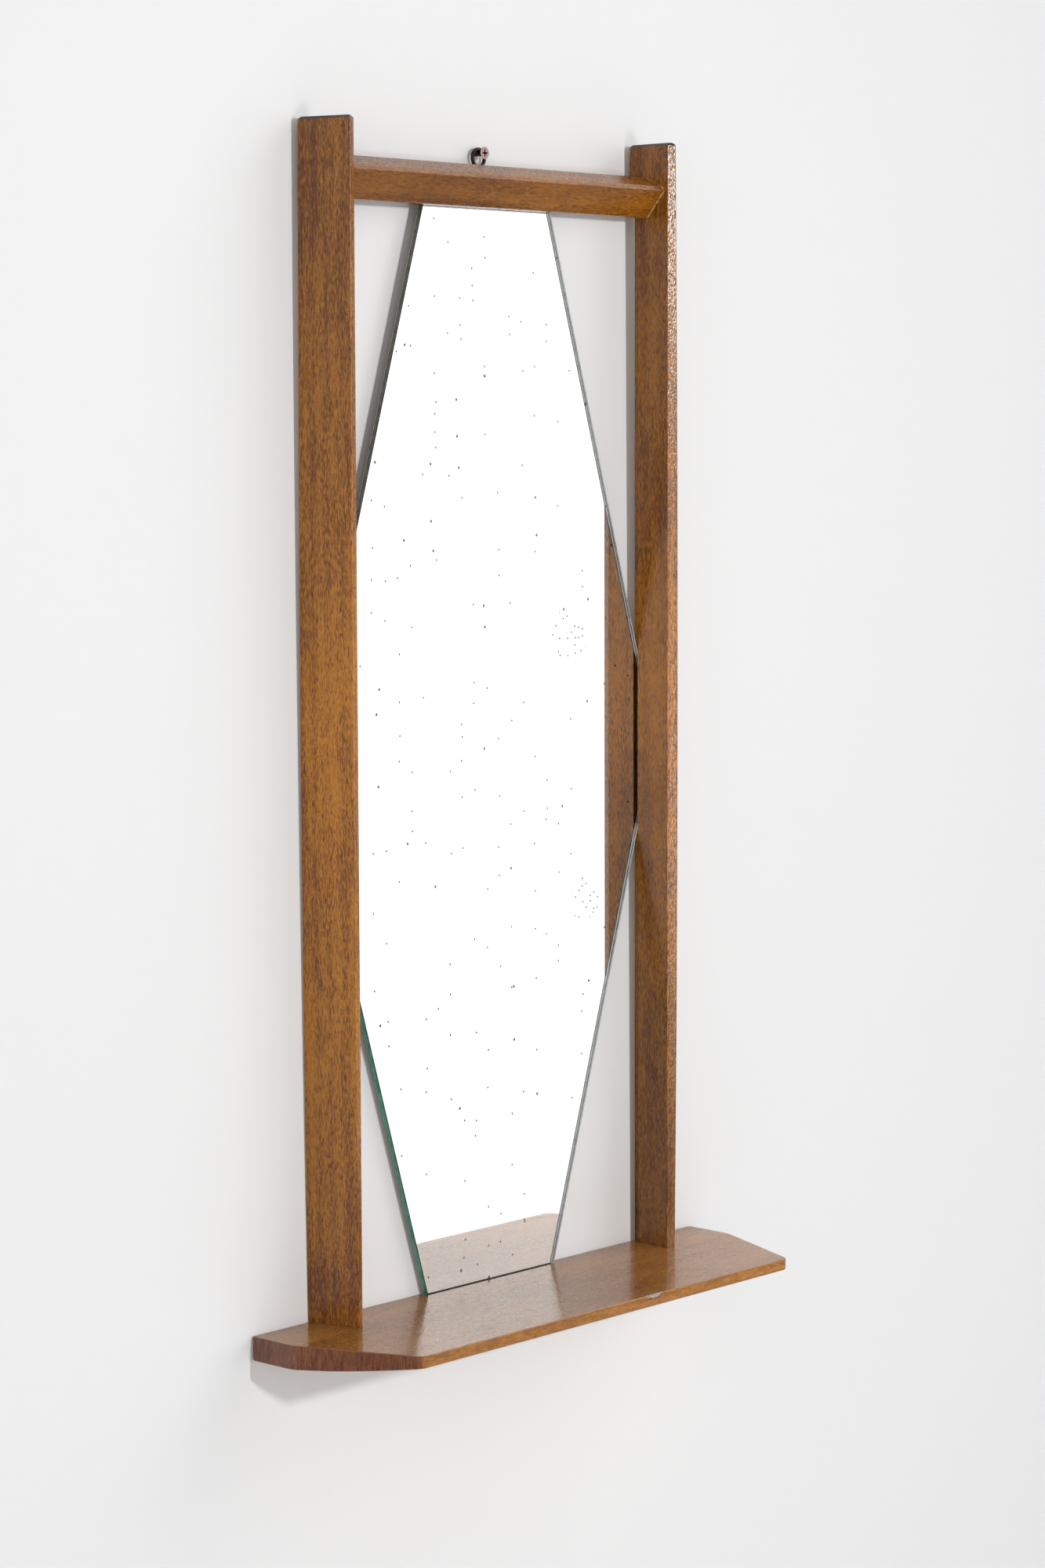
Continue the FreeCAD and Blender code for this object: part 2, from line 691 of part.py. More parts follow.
def rings_tail_back(edge, ends):
    """The rear rim of a screw hole in the eye's tail."""
    at_back = near(edge.BoundBox.YMin, value("EyeThick"))
    return len(ends) == 1 and at_back and edge.BoundBox.ZMax < value("RailTop")


def rims_ring_front(edge, ends):
    """The ring's front rims, inside and out."""
    return edge.BoundBox.ZMax > value("EyeCentre") and near(edge.BoundBox.YMax, 0)


ease(eye, "Chamfer", "(EyeScrewHead - EyeScrewWidth) / 2", rings_tail_back)
ease(eye, "Chamfer", "EyeArris", rims_ring_front)
keep(eye, "hanging_eye")

screws = []
for height in TAIL_HOLES:
    screws.append(place(flat_headed("EyeScrew"), BACKWARD, "0", "EyeThick - EyeScrewLength", height))
group("eye_screws", screws)

# Hanging screw. The eye hangs on its shank, behind the cross-recessed head, and its thread starts at the wall.
# The thread is drawn as a plain round at its outside size.
screw = turned("hanging_screw", [
    ("0", "0"),
    ("HangScrewThread / 2", "HangScrewTip"),
    ("HangScrewThread / 2", "ShankStart"),
    ("HangScrewShank / 2", "ShankStart"),
    ("HangScrewShank / 2", "ConeStart"),
    ("HangScrewHead / 2", "LipStart"),
    ("HangScrewHead / 2", "HangScrewLength"),
    ("0", "HangScrewLength"),
])
recess = new_sketch(screw, "XY_Plane", "HangScrewLength")
cross = []
for x, y in ((1, -1), (1, 1), (-1, 1), (-1, -1)):
    long_x, long_y = ("%d * RecessSpan / 2" % sign for sign in (x, y))
    short_x, short_y = ("%d * RecessWidth / 2" % sign for sign in (x, y))
    arm_corners = [(short_x, long_y), (short_x, short_y), (long_x, short_y)]
    cross.extend(arm_corners if x * y < 0 else arm_corners[::-1])
outline(recess, cross)
pocket(screw, recess, "RecessDepth")
place(screw, FORWARD, "0", "ShankStart + FrameStand", "HangHeight")
keep(screw, "hanging_screw")

doc.recompute()
for item in doc.Objects:
    if "Invalid" in item.State or "Error" in item.State:
        raise RuntimeError("%s failed: %s" % (item.Label, item.State))
for piece in pieces:
    if piece.Shape.isNull() or not piece.Shape.isValid():
        raise RuntimeError("%s has no valid shape" % piece.Label)

os.makedirs("parts", exist_ok=True)
for piece in pieces:
    piece.Shape.exportStep("parts/%s.step" % piece.Label)
    print("%-16s %d solids %10.1f mm3" % (piece.Label, len(piece.Shape.Solids), piece.Shape.Volume))
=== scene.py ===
import math

import bpy
from mathutils import Euler, Matrix, Vector


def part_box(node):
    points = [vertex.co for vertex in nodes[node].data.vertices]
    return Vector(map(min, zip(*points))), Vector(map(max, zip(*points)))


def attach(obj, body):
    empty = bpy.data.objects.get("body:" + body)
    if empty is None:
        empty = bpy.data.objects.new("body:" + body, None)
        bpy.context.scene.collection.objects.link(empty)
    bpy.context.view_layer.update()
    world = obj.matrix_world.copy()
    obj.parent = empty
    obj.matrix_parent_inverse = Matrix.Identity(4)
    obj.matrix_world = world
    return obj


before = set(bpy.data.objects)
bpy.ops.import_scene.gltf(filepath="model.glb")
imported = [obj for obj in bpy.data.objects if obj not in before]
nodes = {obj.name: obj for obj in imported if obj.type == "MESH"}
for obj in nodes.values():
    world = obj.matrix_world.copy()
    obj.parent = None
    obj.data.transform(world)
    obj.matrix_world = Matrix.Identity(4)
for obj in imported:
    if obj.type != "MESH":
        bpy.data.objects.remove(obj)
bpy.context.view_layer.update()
bpy.ops.object.select_all(action="DESELECT")

# Posts. Two tapered uprights of beech, planed to a bowed outer face, stained mid brown and waxed.
# The stain lies darker in the end grain and along the arrises, and the open pores break up the sheen.


def add_node(tree, kind, sockets={}, **settings):
    """A shader node. Settings are its properties, and sockets are its inputs, each a value or another
    node's output."""
    node = tree.nodes.new("ShaderNode" + kind)
    for name, setting in settings.items():
        setattr(node, name, setting)
    for name, source in sockets.items():
        if isinstance(source, bpy.types.NodeSocket):
            tree.links.new(source, node.inputs[name])
        else:
            node.inputs[name].default_value = source
    return node


def new_finish(name):
    """An empty material: its node tree, its shader and the piece's own coordinates in metres."""
    material = bpy.data.materials.new(name)
    material.use_nodes = True
    tree = material.node_tree
    shader = tree.nodes["Principled BSDF"]
    place = add_node(tree, "TexCoord").outputs["Object"]
    return material, tree, shader, place


def wear(node, material):
    """Give a CAD node one material all over."""
    for slot in nodes[node].material_slots:
        slot.material = material


def ranged(tree, source, low, high, bottom=0.0, top=1.0):
    """Ease from bottom to top while the source goes from low to high."""
    return add_node(tree, "MapRange", {"Value": source, 1: low, 2: high, 3: bottom, 4: top},
                    interpolation_type="SMOOTHSTEP").outputs[0]


def worked(tree, operation, first, second=0.0):
    """One step of arithmetic on numbers, by the name of its operation."""
    return add_node(tree, "Math", {0: first, 1: second}, operation=operation).outputs[0]


def vector_worked(tree, operation, first, second=(0.0, 0.0, 0.0)):
    """The outputs of one step of arithmetic on vectors, by the name of its operation."""
    return add_node(tree, "VectorMath", {0: first, 1: second}, operation=operation).outputs


def blended(tree, share, first, second, mode="MIX"):
    """The second colour over the first, by a share from 0 to 1."""
    sockets = {0: share}
    for socket, colour in ((6, first), (7, second)):
        sockets[socket] = (*colour, 1.0) if isinstance(colour, tuple) else colour
    return add_node(tree, "Mix", sockets, data_type="RGBA", blend_type=mode).outputs[2]


def mottled(tree, noise, low, high, dark, light):
    """Go from the dark colour to the light one while the noise goes from low to high."""
    return blended(tree, ranged(tree, noise, low, high), dark, light)


def stretched_noise(tree, place, across, along, detail):
    """Noise drawn out along Z: across and along are how many waves there are in a metre."""
    size = add_node(tree, "Mapping", {"Vector": place, "Scale": (across, across, along)})
    noise = add_node(tree, "TexNoise", {"Vector": size.outputs[0], "Scale": 1.0, "Detail": detail})
    return noise.outputs["Fac"]


def stained_wood(name, fibres_along, turn, pith, reach, tones, tint, figure_spread, gloss, stipple, ends):
    """Stained beech. Turn lays the fibres along Z, pith is where the middle of the log was, reach is where
    the piece starts and ends along its fibres, tones are how light it is at the start, the middle and the
    end, tint shifts its colour, a wide figure_spread makes a calm figure, gloss is the wax's roughness,
    stipple is the depth of the pores, and ends are the dark and light colours of the end grain."""
    log_lean = (0.02, 0.035, 0.0)
    log_stretch = (1.0, 1.0, 0.12)
    figure_middle = 0.65
    figure_above = 0.66
    arris_width = 0.0009
    arris_share = 0.75
    pore_depth = 0.0003
    pore_share = 0.22
    filled_gloss = gloss * 0.92
    open_gloss = gloss * 2.1

    material, tree, shader, place = new_finish(name)
    laid = add_node(tree, "Mapping", {"Vector": place, "Rotation": turn}).outputs[0]
    log = add_node(tree, "Mapping", {
        "Vector": laid, "Location": pith, "Rotation": log_lean, "Scale": log_stretch}).outputs[0]
    rings = add_node(tree, "TexWave", {
        "Vector": log, "Scale": 38.0, "Distortion": 5.0, "Detail": 3.0, "Detail Scale": 14.0,
    }, wave_type="RINGS", rings_direction="Z").outputs["Fac"]
    fibres = stretched_noise(tree, laid, across=560.0, along=14.0, detail=4.0)
    flecks = stretched_noise(tree, laid, across=1100.0, along=190.0, detail=2.0)
    clouds = stretched_noise(tree, laid, across=26.0, along=4.0, detail=3.0)
    curls = stretched_noise(tree, laid, across=60.0, along=24.0, detail=3.0)
    figure = worked(tree, "MULTIPLY", rings, 0.06)
    for part, share in ((fibres, 0.14), (flecks, 0.62), (clouds, 0.36), (curls, 0.14)):
        figure = worked(tree, "ADD", figure, worked(tree, "MULTIPLY", part, share))
    ramp = add_node(tree, "ValToRGB", {"Fac": figure})
    ramp.color_ramp.elements[0].position = figure_middle - figure_spread
    ramp.color_ramp.elements[0].color = (*wood_dark, 1.0)
    ramp.color_ramp.elements[1].position = figure_above + figure_spread
    ramp.color_ramp.elements[1].color = (*wood_light, 1.0)
    ramp.color_ramp.elements.new(figure_middle).color = (*wood_middle, 1.0)
    colour = ramp.outputs["Color"]

    along = add_node(tree, "SeparateXYZ", {0: laid}).outputs["Z"]
    tone = add_node(tree, "ValToRGB", {"Fac": ranged(tree, along, *reach)})
    tone.color_ramp.elements.new(0.5)
    for element, strength in zip(tone.color_ramp.elements, tones):
        element.color = (*(strength * channel for channel in tint), 1.0)
    colour = blended(tree, 1.0, colour, tone.outputs["Color"], "MULTIPLY")

    outward = add_node(tree, "NewGeometry").outputs["Normal"]
    facing = add_node(tree, "SeparateXYZ", {0: outward}).outputs[fibres_along]
    end_grain = ranged(tree, worked(tree, "ABSOLUTE", facing), 0.45, 0.75)
    scratches = stretched_noise(tree, place, across=1100.0, along=90.0, detail=3.0)
    colour = blended(tree, end_grain, colour, mottled(tree, scratches, 0.35, 0.7, *ends))

    rounded = add_node(tree, "Bevel", {"Radius": arris_width}, samples=6).outputs[0]
    straight = vector_worked(tree, "DOT_PRODUCT", rounded, outward)["Value"]
    colour = blended(tree, ranged(tree, straight, 0.90, 0.995, arris_share, 0.0), colour, arris_dark)

    pores = stretched_noise(tree, laid, across=780.0, along=420.0, detail=1.0)
    open_pore = ranged(tree, pores, 0.36, 0.52, 1.0, 0.0)
    colour = blended(tree, worked(tree, "MULTIPLY", open_pore, pore_share), colour, arris_dark)
    tree.links.new(colour, shader.inputs["Base Color"])
    tree.links.new(ranged(tree, open_pore, 0.0, 1.0, filled_gloss, open_gloss), shader.inputs["Roughness"])
    relief = add_node(tree, "Bump", {"Height": pores, "Strength": stipple, "Distance": pore_depth})
    tree.links.new(relief.outputs[0], shader.inputs["Normal"])
    return material


wood_dark = (0.180, 0.048, 0.003)
wood_middle = (0.395, 0.132, 0.007)
wood_light = (0.600, 0.228, 0.018)
arris_dark = (0.075, 0.022, 0.006)
post_ends = ((0.022, 0.006, 0.003), (0.060, 0.018, 0.007))
plain_tint = (1.0, 1.0, 1.0)
upright = (0.0, 0.0, 0.0)
post_reach = (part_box("left_post")[0].z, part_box("left_post")[1].z)
# The tones make each post darker towards its top and foot and lighter in the middle. This is partly a real
# tone difference, with painted shade beside the shelf at the foot and partly painted light in the middle.
wear("left_post", stained_wood(
    "stained_wood_left",
    fibres_along="Z",
    turn=upright,
    pith=(0.26, 0.09, 0.0),
    reach=post_reach,
    tones=(0.76, 0.96, 0.66),
    tint=plain_tint,
    figure_spread=0.085,
    gloss=0.25,
    stipple=0.55,
    ends=post_ends,
))
wear("right_post", stained_wood(
    "stained_wood_right",
    fibres_along="Z",
    turn=upright,
    pith=(-0.27, 0.06, 0.0),
    reach=post_reach,
    tones=(0.56, 1.00, 0.63),
    tint=plain_tint,
    figure_spread=0.08,
    gloss=0.25,
    stipple=0.60,
    ends=post_ends,
))

# Rail. A bar between the posts, worked to a sloped top and an undercut front, in the same stained wood
# with its fibres along the bar. Two dowels at each end hold it, and glue has squeezed out at its right end.


def plain_noise(tree, place, per_metre, detail):
    """Noise that is the same in every direction."""
    return add_node(tree, "TexNoise", {"Vector": place, "Scale": per_metre, "Detail": detail}).outputs["Fac"]


def over_stain(tree, share, colour):
    """Lay a mark over the colour that a stained wood already has."""
    stain = tree.nodes["Principled BSDF"].inputs["Base Color"]
    tree.links.new(blended(tree, share, stain.links[0].from_socket, colour), stain)


level = (0.0, math.radians(90.0), 0.0)
rail_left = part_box("top_rail")[0].x
rail_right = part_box("top_rail")[1].x
rail_wood = stained_wood(
    "stained_wood_rail",
    fibres_along="X",
    turn=level,
    pith=(0.05, 0.08, 0.0),
    reach=(rail_right, rail_left),
    tones=(0.58, 0.64, 0.72),
    tint=plain_tint,
    figure_spread=0.12,
    gloss=0.22,
    stipple=0.10,
    ends=post_ends,
)
glue_start = rail_right - 0.0028
glue_full = rail_right - 0.0012
glue_colour = (0.55, 0.38, 0.22)
tree = rail_wood.node_tree
place = add_node(tree, "TexCoord").outputs["Object"]
toward_end = add_node(tree, "SeparateXYZ", {0: place}).outputs["X"]
glue_line = ranged(tree, toward_end, glue_start, glue_full)
glue_noise = plain_noise(tree, place, per_metre=260.0, detail=2.0)
glue_breaks = ranged(tree, glue_noise, 0.38, 0.55, 0.15, 0.9)
over_stain(tree, worked(tree, "MULTIPLY", glue_line, glue_breaks), glue_colour)
wear("top_rail", rail_wood)

# Shelf. One wide board of the same wood, its ends cut back and its underside thinned to the front edge.
# The top is the smoothest face of all, from years of dusting, and the front arris has one worn chip.
shelf_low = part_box("shelf")[0]
shelf_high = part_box("shelf")[1]
shelf_polish = 0.68
# The shelf's tint lifts its blue and its tones lighten its right end. This is partly a real tone difference
# and partly a painted sheen of the pale wall that its top reflects.
shelf_wood = stained_wood(
    "stained_wood_shelf",
    fibres_along="X",
    turn=level,
    pith=(-0.9, 0.2, 0.0),
    reach=(shelf_high.x, shelf_low.x),
    tones=(1.06, 0.97, 1.32),
    tint=(0.84, 1.0, 3.2),
    figure_spread=0.20,
    gloss=0.16,
    stipple=0.06,
    ends=((0.088, 0.021, 0.006), (0.31, 0.092, 0.026)),
)
chip_place = (0.052, shelf_low.y + 0.0015, shelf_high.z - 0.0005)
chip_long = 0.016
chip_deep = 0.0045
torn_dark = (0.030, 0.010, 0.005)
torn_light = (0.62, 0.50, 0.40)
tree = shelf_wood.node_tree
tree.nodes["Principled BSDF"].inputs["Specular IOR Level"].default_value = shelf_polish
place = add_node(tree, "TexCoord").outputs["Object"]
from_chip = vector_worked(tree, "SUBTRACT", place, chip_place)["Vector"]
chip_scale = (1 / chip_long, 1 / chip_deep, 1 / chip_deep)
chip_shape = vector_worked(tree, "MULTIPLY", from_chip, chip_scale)["Vector"]
chip_far = vector_worked(tree, "LENGTH", chip_shape)["Value"]
splinters = stretched_noise(tree, place, across=1400.0, along=1400.0, detail=2.0)
ragged = worked(tree, "ADD", chip_far, worked(tree, "MULTIPLY", splinters, 1.2))
chipped = ranged(tree, ragged, 1.25, 1.45, 1.0, 0.0)
over_stain(tree, chipped, mottled(tree, splinters, 0.40, 0.60, torn_dark, torn_light))
wear("shelf", shelf_wood)

# Beads and dowels. Plain strips of unfinished beech that hold the glass in the rebates, and plain pins of
# the same wood in the rail's joints. They were sawn and left bare, because nobody sees them.


def bare_wood(name, turn):
    """Unfinished beech with its small flecks."""
    bare_dark = (0.36, 0.22, 0.11, 1.0)
    bare_light = (0.52, 0.36, 0.21, 1.0)
    material, tree, shader, place = new_finish(name)
    laid = add_node(tree, "Mapping", {"Vector": place, "Rotation": turn}).outputs[0]
    flecks = stretched_noise(tree, laid, across=1200.0, along=160.0, detail=3.0)
    ramp = add_node(tree, "ValToRGB", {"Fac": flecks})
    ramp.color_ramp.elements[0].position = 0.3
    ramp.color_ramp.elements[0].color = bare_dark
    ramp.color_ramp.elements[1].position = 0.7
    ramp.color_ramp.elements[1].color = bare_light
    tree.links.new(ramp.outputs["Color"], shader.inputs["Base Color"])
    shader.inputs["Roughness"].default_value = 0.7
    return material


bare_upright = bare_wood("bare_wood_upright", upright)
bare_level = bare_wood("bare_wood_level", level)
for node in ("left_bead", "right_bead"):
    wear(node, bare_upright)
for node in ("top_bead", "bottom_bead", "rail_dowels"):
    wear(node, bare_level)

# Glass. One pane of 5 mm float glass. Its faces are polished, its edges are ground and show the green of
# the glass, and it stands in the shelf's notch and in the rebates. Dust dulls the edges that face upwards.


def flat_normal(tree):
    """The X, Y and Z of the direction that a face points in."""
    return add_node(tree, "SeparateXYZ", {0: add_node(tree, "NewGeometry").outputs["True Normal"]}).outputs


glass_ior = 1.52
clean_colours = ((0.028, 0.33, 0.20), (0.11, 0.58, 0.39))
dusty_colours = ((0.095, 0.10, 0.060), (0.19, 0.195, 0.135))
# Ground edges seen from inside the glass are painted pale grey instead of green, as a painted reflection.
painted_inner_reflection_colours = ((0.20, 0.21, 0.195), (0.42, 0.43, 0.41))
# The arrises are painted near black, as painted shade for the dark lines they show.
painted_shade_arris_colour = (0.007, 0.016, 0.012)
clear = (1.0, 1.0, 1.0)
ground_roughness = 0.3
ground_transmission = 0.15
material, tree, shader, place = new_finish("mirror_glass")
facing = flat_normal(tree)
toward_wall = worked(tree, "ABSOLUTE", facing["Y"])
polished = worked(tree, "GREATER_THAN", toward_wall, 0.9)
ground = worked(tree, "LESS_THAN", toward_wall, 0.4)
upward = worked(tree, "GREATER_THAN", facing["Z"], 0.0)
seen_through = add_node(tree, "NewGeometry").outputs["Backfacing"]
streaks = stretched_noise(tree, place, across=420.0, along=60.0, detail=3.0)
clean_edge = mottled(tree, streaks, 0.35, 0.7, *clean_colours)
dusty_edge = mottled(tree, streaks, 0.35, 0.7, *dusty_colours)
painted_inner_reflection = mottled(tree, streaks, 0.35, 0.7, *painted_inner_reflection_colours)
outside_edge = blended(tree, upward, clean_edge, dusty_edge)
ground_colour = blended(tree, seen_through, outside_edge, painted_inner_reflection)
edge_colour = blended(tree, ground, painted_shade_arris_colour, ground_colour)
tree.links.new(blended(tree, polished, edge_colour, clear), shader.inputs["Base Color"])
transmission = ranged(tree, polished, 0.0, 1.0, ground_transmission, 1.0)
tree.links.new(transmission, shader.inputs["Transmission Weight"])
tree.links.new(ranged(tree, polished, 0.0, 1.0, ground_roughness, 0.0), shader.inputs["Roughness"])
shader.inputs["IOR"].default_value = glass_ior
wear("mirror_glass", material)

# Silvering. A film of silver under grey backing paint, on the back of the glass as far as its ground edges.
# The silver has small dark spots where damp has got behind it, and two places where they crowd.
silver_thick = 0.00015
silver_gap = 0.00002
same_point = 0.00001
same_plane = 0.00002
glass_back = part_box("mirror_glass")[1].y
silvering = nodes["mirror_glass"].copy()
silvering.data = nodes["mirror_glass"].data.copy()
silvering.name = "mirror_silvering"
for key in list(silvering.keys()):
    del silvering[key]
silvering.parent = None
bpy.context.scene.collection.objects.link(silvering)
silvering.data.materials.clear()
bpy.context.view_layer.objects.active = silvering
silvering.select_set(True)
bpy.ops.object.mode_set(mode="EDIT")
bpy.ops.mesh.select_all(action="SELECT")
bpy.ops.mesh.remove_doubles(threshold=same_point)
bpy.ops.mesh.select_mode(type="FACE")
bpy.ops.mesh.select_all(action="DESELECT")
bpy.ops.object.mode_set(mode="OBJECT")
for face in silvering.data.polygons:
    face.select = abs(face.center.y - glass_back) > same_plane
bpy.ops.object.mode_set(mode="EDIT")
bpy.ops.mesh.delete(type="FACE")
bpy.ops.mesh.select_all(action="SELECT")
bpy.ops.transform.translate(value=(0.0, silver_thick + silver_gap, 0.0))
bpy.ops.mesh.dissolve_limited(angle_limit=math.radians(1.0))
bpy.ops.object.mode_set(mode="OBJECT")
solid = silvering.modifiers.new("thickness", "SOLIDIFY")
solid.thickness = silver_thick
solid.offset = -1.0
bpy.ops.object.modifier_apply(modifier=solid.name)
silvering.select_set(False)


def spots(tree, place, per_metre, chosen, size):
    """Round spots, one in each of a chosen share of the cells. Their radius is a share of a cell."""
    solid_radius = size * 0.6
    cells = add_node(tree, "TexVoronoi", {"Vector": place, "Scale": per_metre}, voronoi_dimensions="2D")
    draw = add_node(tree, "SeparateColor", {0: cells.outputs["Color"]}).outputs["Red"]
    picked = worked(tree, "GREATER_THAN", draw, 1.0 - chosen)
    inside = ranged(tree, cells.outputs["Distance"], solid_radius, size, 1.0, 0.0)
    return worked(tree, "MULTIPLY", picked, inside)


silver_colour = (0.96, 0.965, 0.96)
spot_colour = (0.05, 0.042, 0.036)
paint_colours = ((0.16, 0.15, 0.14), (0.24, 0.23, 0.22))
paint_roughness = 0.55
crowded = (((0.105, -0.42, 0.0), 0.035), ((0.13, -0.66, 0.0), 0.03))
material, tree, shader, place = new_finish("silver_film")
spread = add_node(tree, "SeparateXYZ", {0: place}).outputs
face_place = add_node(tree, "CombineXYZ", {0: spread["X"], 1: spread["Z"]}).outputs[0]
large_spots = spots(tree, face_place, per_metre=30.0, chosen=0.14, size=0.050)
small_spots = spots(tree, face_place, per_metre=64.0, chosen=0.16, size=0.078)
damp = worked(tree, "MAXIMUM", large_spots, small_spots)
for centre, reach in crowded:
    from_centre = vector_worked(tree, "DISTANCE", face_place, centre)["Value"]
    patch = ranged(tree, from_centre, reach * 0.5, reach, 1.0, 0.0)
    specks = spots(tree, face_place, per_metre=200.0, chosen=0.22, size=0.25)
    damp = worked(tree, "MAXIMUM", damp, worked(tree, "MULTIPLY", patch, specks))
behind = worked(tree, "GREATER_THAN", flat_normal(tree)["Y"], 0.5)
brush_marks = stretched_noise(tree, place, across=300.0, along=12.0, detail=3.0)
paint = mottled(tree, brush_marks, 0.3, 0.7, *paint_colours)
silver = blended(tree, damp, silver_colour, spot_colour)
tree.links.new(blended(tree, behind, silver, paint), shader.inputs["Base Color"])
tree.links.new(ranged(tree, behind, 0.0, 1.0, 1.0, 0.0), shader.inputs["Metallic"])
tree.links.new(ranged(tree, behind, 0.0, 1.0, 0.0, paint_roughness), shader.inputs["Roughness"])
silvering.data.materials.append(material)
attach(silvering, "root")

# Screws and pins. The pins hold the beads, and slotted steel screws hold the shelf to the posts and the eye
# to the rail. They are turned from plain steel, bright from the maker and gone slightly dull.
steel_colour = (0.55, 0.54, 0.52, 1.0)
steel_roughness = 0.32
material, tree, shader, place = new_finish("plain_steel")
shader.inputs["Base Color"].default_value = steel_colour
shader.inputs["Metallic"].default_value = 1.0
dulling = plain_noise(tree, place, per_metre=900.0, detail=3.0)
dulled = add_node(tree, "MapRange", {"Value": dulling, 3: steel_roughness * 0.7, 4: steel_roughness * 1.4})
tree.links.new(dulled.outputs[0], shader.inputs["Roughness"])
for node in ("bead_pins", "shelf_screws", "eye_screws"):
    wear(node, material)

# Hanging eye. A stamped steel eye with a dark bronzed finish, screwed to the rail's back.
# Its face is painted lighter than its bevelled rims, partly rubbed wear and partly a painted highlight.
bronze_dark = (0.022, 0.012, 0.009)
bronze_rubbed_highlight = (0.120, 0.080, 0.052)
material, tree, shader, place = new_finish("bronzed_steel")
flat = worked(tree, "GREATER_THAN", worked(tree, "ABSOLUTE", flat_normal(tree)["Y"]), 0.9)
rubbing = plain_noise(tree, place, per_metre=700.0, detail=3.0)
# The lighter flat face is rubbed wear and a painted highlight.
rubbed_highlit_face = worked(tree, "MULTIPLY", flat, ranged(tree, rubbing, 0.3, 0.7, 0.5, 1.0))
tree.links.new(blended(tree, rubbed_highlit_face, bronze_dark, bronze_rubbed_highlight), shader.inputs["Base Color"])
tree.links.new(ranged(tree, rubbing, 0.3, 0.7, 0.30, 0.5), shader.inputs["Roughness"])
shader.inputs["Metallic"].default_value = 0.6
wear("hanging_eye", material)

# Hanging screw. A steel screw with a cross recess, driven into the wall, which the eye hangs on.
# The screwdriver has burnished the head's face, and the rest is painted dark brown, partly gone brown and
# partly painted shade on the shank.
burnish_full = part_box("hanging_screw")[0].y + 0.0004
burnish_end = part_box("hanging_screw")[0].y + 0.0007
# The dark brown is partly painted shade on the shank.
screw_brown_and_shade = (0.055, 0.032, 0.028)
screw_burnished = (0.30, 0.205, 0.200)
material, tree, shader, place = new_finish("burnished_steel")
depth = add_node(tree, "SeparateXYZ", {0: place}).outputs["Y"]
burnished = ranged(tree, depth, burnish_full, burnish_end, 1.0, 0.0)
dulling = plain_noise(tree, place, per_metre=900.0, detail=3.0)
tree.links.new(blended(tree, burnished, screw_brown_and_shade, screw_burnished), shader.inputs["Base Color"])
tree.links.new(ranged(tree, dulling, 0.3, 0.7, 0.22, 0.42), shader.inputs["Roughness"])
shader.inputs["Metallic"].default_value = 1.0
wear("hanging_screw", material)

# Wall and floor. A pale painted wall, which the shelf's back edge leans on and the screw's axis starts from,
# and a pale floor below. Both are seen from their front sides only, so that the back can be looked at too.
wall_lean = math.atan(shelf_high.y / shelf_low.z)
wall_place = (0.0, 0.0001, 0.0)
wall_grey = 0.82
wall_glow = 0.35
floor_place = (0.0, -5.9, -1.9)
floor_grey = 0.72
floor_glow = 1.25
gap_reach = 0.05


def plain_paint(name, grey, glow, to_mirrors):
    """Matt paint that doesn't show from behind. Mirrors, or else pieces close by, see it as bright as
    glow."""
    material, tree, shader, place = new_finish(name)
    shader.inputs["Base Color"].default_value = (grey, grey, grey, 1.0)
    shader.inputs["Roughness"].default_value = 0.9
    shader.inputs["Specular IOR Level"].default_value = 0.0
    path = add_node(tree, "LightPath").outputs
    if to_mirrors:
        share = worked(tree, "MAXIMUM", path["Is Singular Ray"], path["Is Transmission Ray"])
    else:
        close_by = worked(tree, "LESS_THAN", path["Ray Length"], gap_reach)
        share = worked(tree, "MULTIPLY", path["Is Diffuse Ray"], close_by)
    bright = add_node(tree, "Emission", {"Strength": glow})
    lit = add_node(tree, "MixShader", {0: share, 1: shader.outputs[0], 2: bright.outputs[0]})
    behind = add_node(tree, "NewGeometry").outputs["Backfacing"]
    gone = add_node(tree, "BsdfTransparent")
    either = add_node(tree, "MixShader", {0: behind, 1: lit.outputs[0], 2: gone.outputs[0]})
    tree.links.new(either.outputs[0], tree.nodes["Material Output"].inputs["Surface"])
    return material


bpy.ops.mesh.primitive_plane_add(size=8.0, location=wall_place)
wall = bpy.context.object
wall.name = "wall"
wall.rotation_euler = (math.radians(90.0) - wall_lean, 0.0, 0.0)
wall.data.materials.append(plain_paint("wall_paint", wall_grey, wall_glow, to_mirrors=False))
bpy.ops.mesh.primitive_plane_add(size=12.0, location=floor_place)
floor = bpy.context.object
floor.name = "floor"
floor.data.materials.append(plain_paint("floor_paint", floor_grey, floor_glow, to_mirrors=True))

# Light. A small lamp straight in front and above, and a larger, weaker one below it: the two give the right
# post's front its sheen from end to end. The room is bright at both front sides, and mirrors see it pale
# all round.


def panel(name, size, place, aim, power):
    """A square lamp that faces a point."""
    lamp = bpy.data.lights.new(name, "AREA")
    lamp.shape = "SQUARE"
    lamp.size = size
    lamp.energy = power
    holder = bpy.data.objects.new(name, lamp)
    holder.location = place
    direction = Vector(aim) - Vector(place)
    holder.rotation_euler = direction.to_track_quat("-Z", "Y").to_euler()
    bpy.context.scene.collection.objects.link(holder)


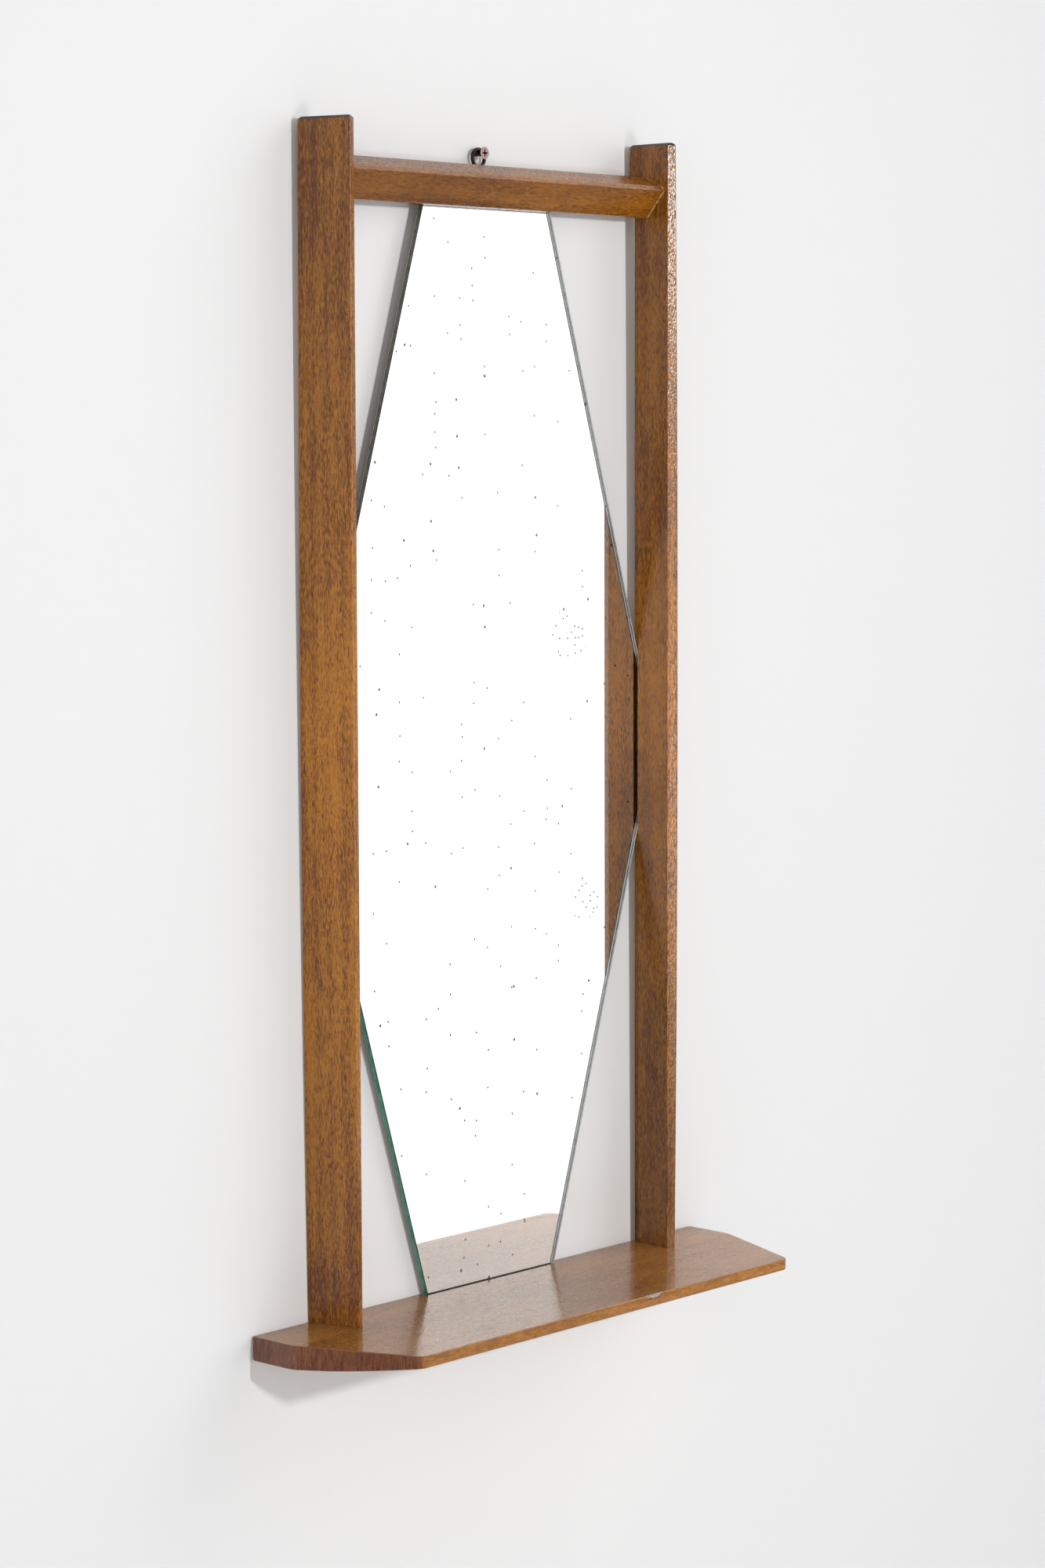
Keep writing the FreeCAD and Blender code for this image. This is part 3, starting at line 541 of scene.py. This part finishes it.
middle = (0.0, 0.0, -0.5)
panel("key_lamp", size=0.2, place=(-0.1, -3.6, 0.25), aim=middle, power=48.0)
panel("low_lamp", size=0.5, place=(-0.1, -3.6, -0.95), aim=middle, power=15.0)

mirrored_room = 1.45
open_room = 1.0
room_lights = (
    ((0.735, -0.665, 0.12), 0.86, 0.95, 1.6),
    ((0.74, -0.28, 0.61), 0.88, 0.97, 1.8),
    ((-0.75, -0.65, 0.05), 0.78, 0.94, 1.3),
    ((0.0, -1.0, 0.0), -0.3, 0.9, 0.07),
)
world = bpy.data.worlds.new("room")
bpy.context.scene.world = world
world.use_nodes = True
tree = world.node_tree
background = tree.nodes["Background"]
outward = add_node(tree, "TexCoord").outputs["Generated"]
room = 0.0
for side, edge, full, strength in room_lights:
    facing = vector_worked(tree, "DOT_PRODUCT", outward, side)["Value"]
    room = worked(tree, "ADD", room, ranged(tree, facing, edge, full, 0.0, strength))
path = add_node(tree, "LightPath").outputs
mirrored = worked(tree, "MAXIMUM", path["Is Singular Ray"], path["Is Transmission Ray"])
room = add_node(tree, "Mix", {0: mirrored, 2: room, 3: mirrored_room}).outputs[0]
room = add_node(tree, "Mix", {0: path["Is Camera Ray"], 2: room, 3: open_room}).outputs[0]
tree.links.new(room, background.inputs["Strength"])
background.inputs["Color"].default_value = (1.0, 1.0, 1.0, 1.0)

# Camera. The photograph's own place and lens, fitted to the mirror's edges and corners.
# It stands to the left of the mirror and looks slightly down.
camera_place = (-2.3211, -2.1678, -0.2406)
camera_yaw = math.radians(-47.674)
camera_tilt = math.radians(90.0 - 5.465)
camera_roll = math.radians(-0.185)
lens = bpy.data.cameras.new("camera")
lens.sensor_width = 36.0
lens.lens = 83.815
camera = bpy.data.objects.new("camera", lens)
camera.location = camera_place
turn = Euler((camera_tilt, 0.0, camera_yaw)).to_matrix() @ Matrix.Rotation(camera_roll, 3, "Z")
camera.rotation_euler = turn.to_euler()
bpy.context.scene.collection.objects.link(camera)
bpy.context.scene.camera = camera
bpy.context.scene.view_settings.view_transform = "Standard"
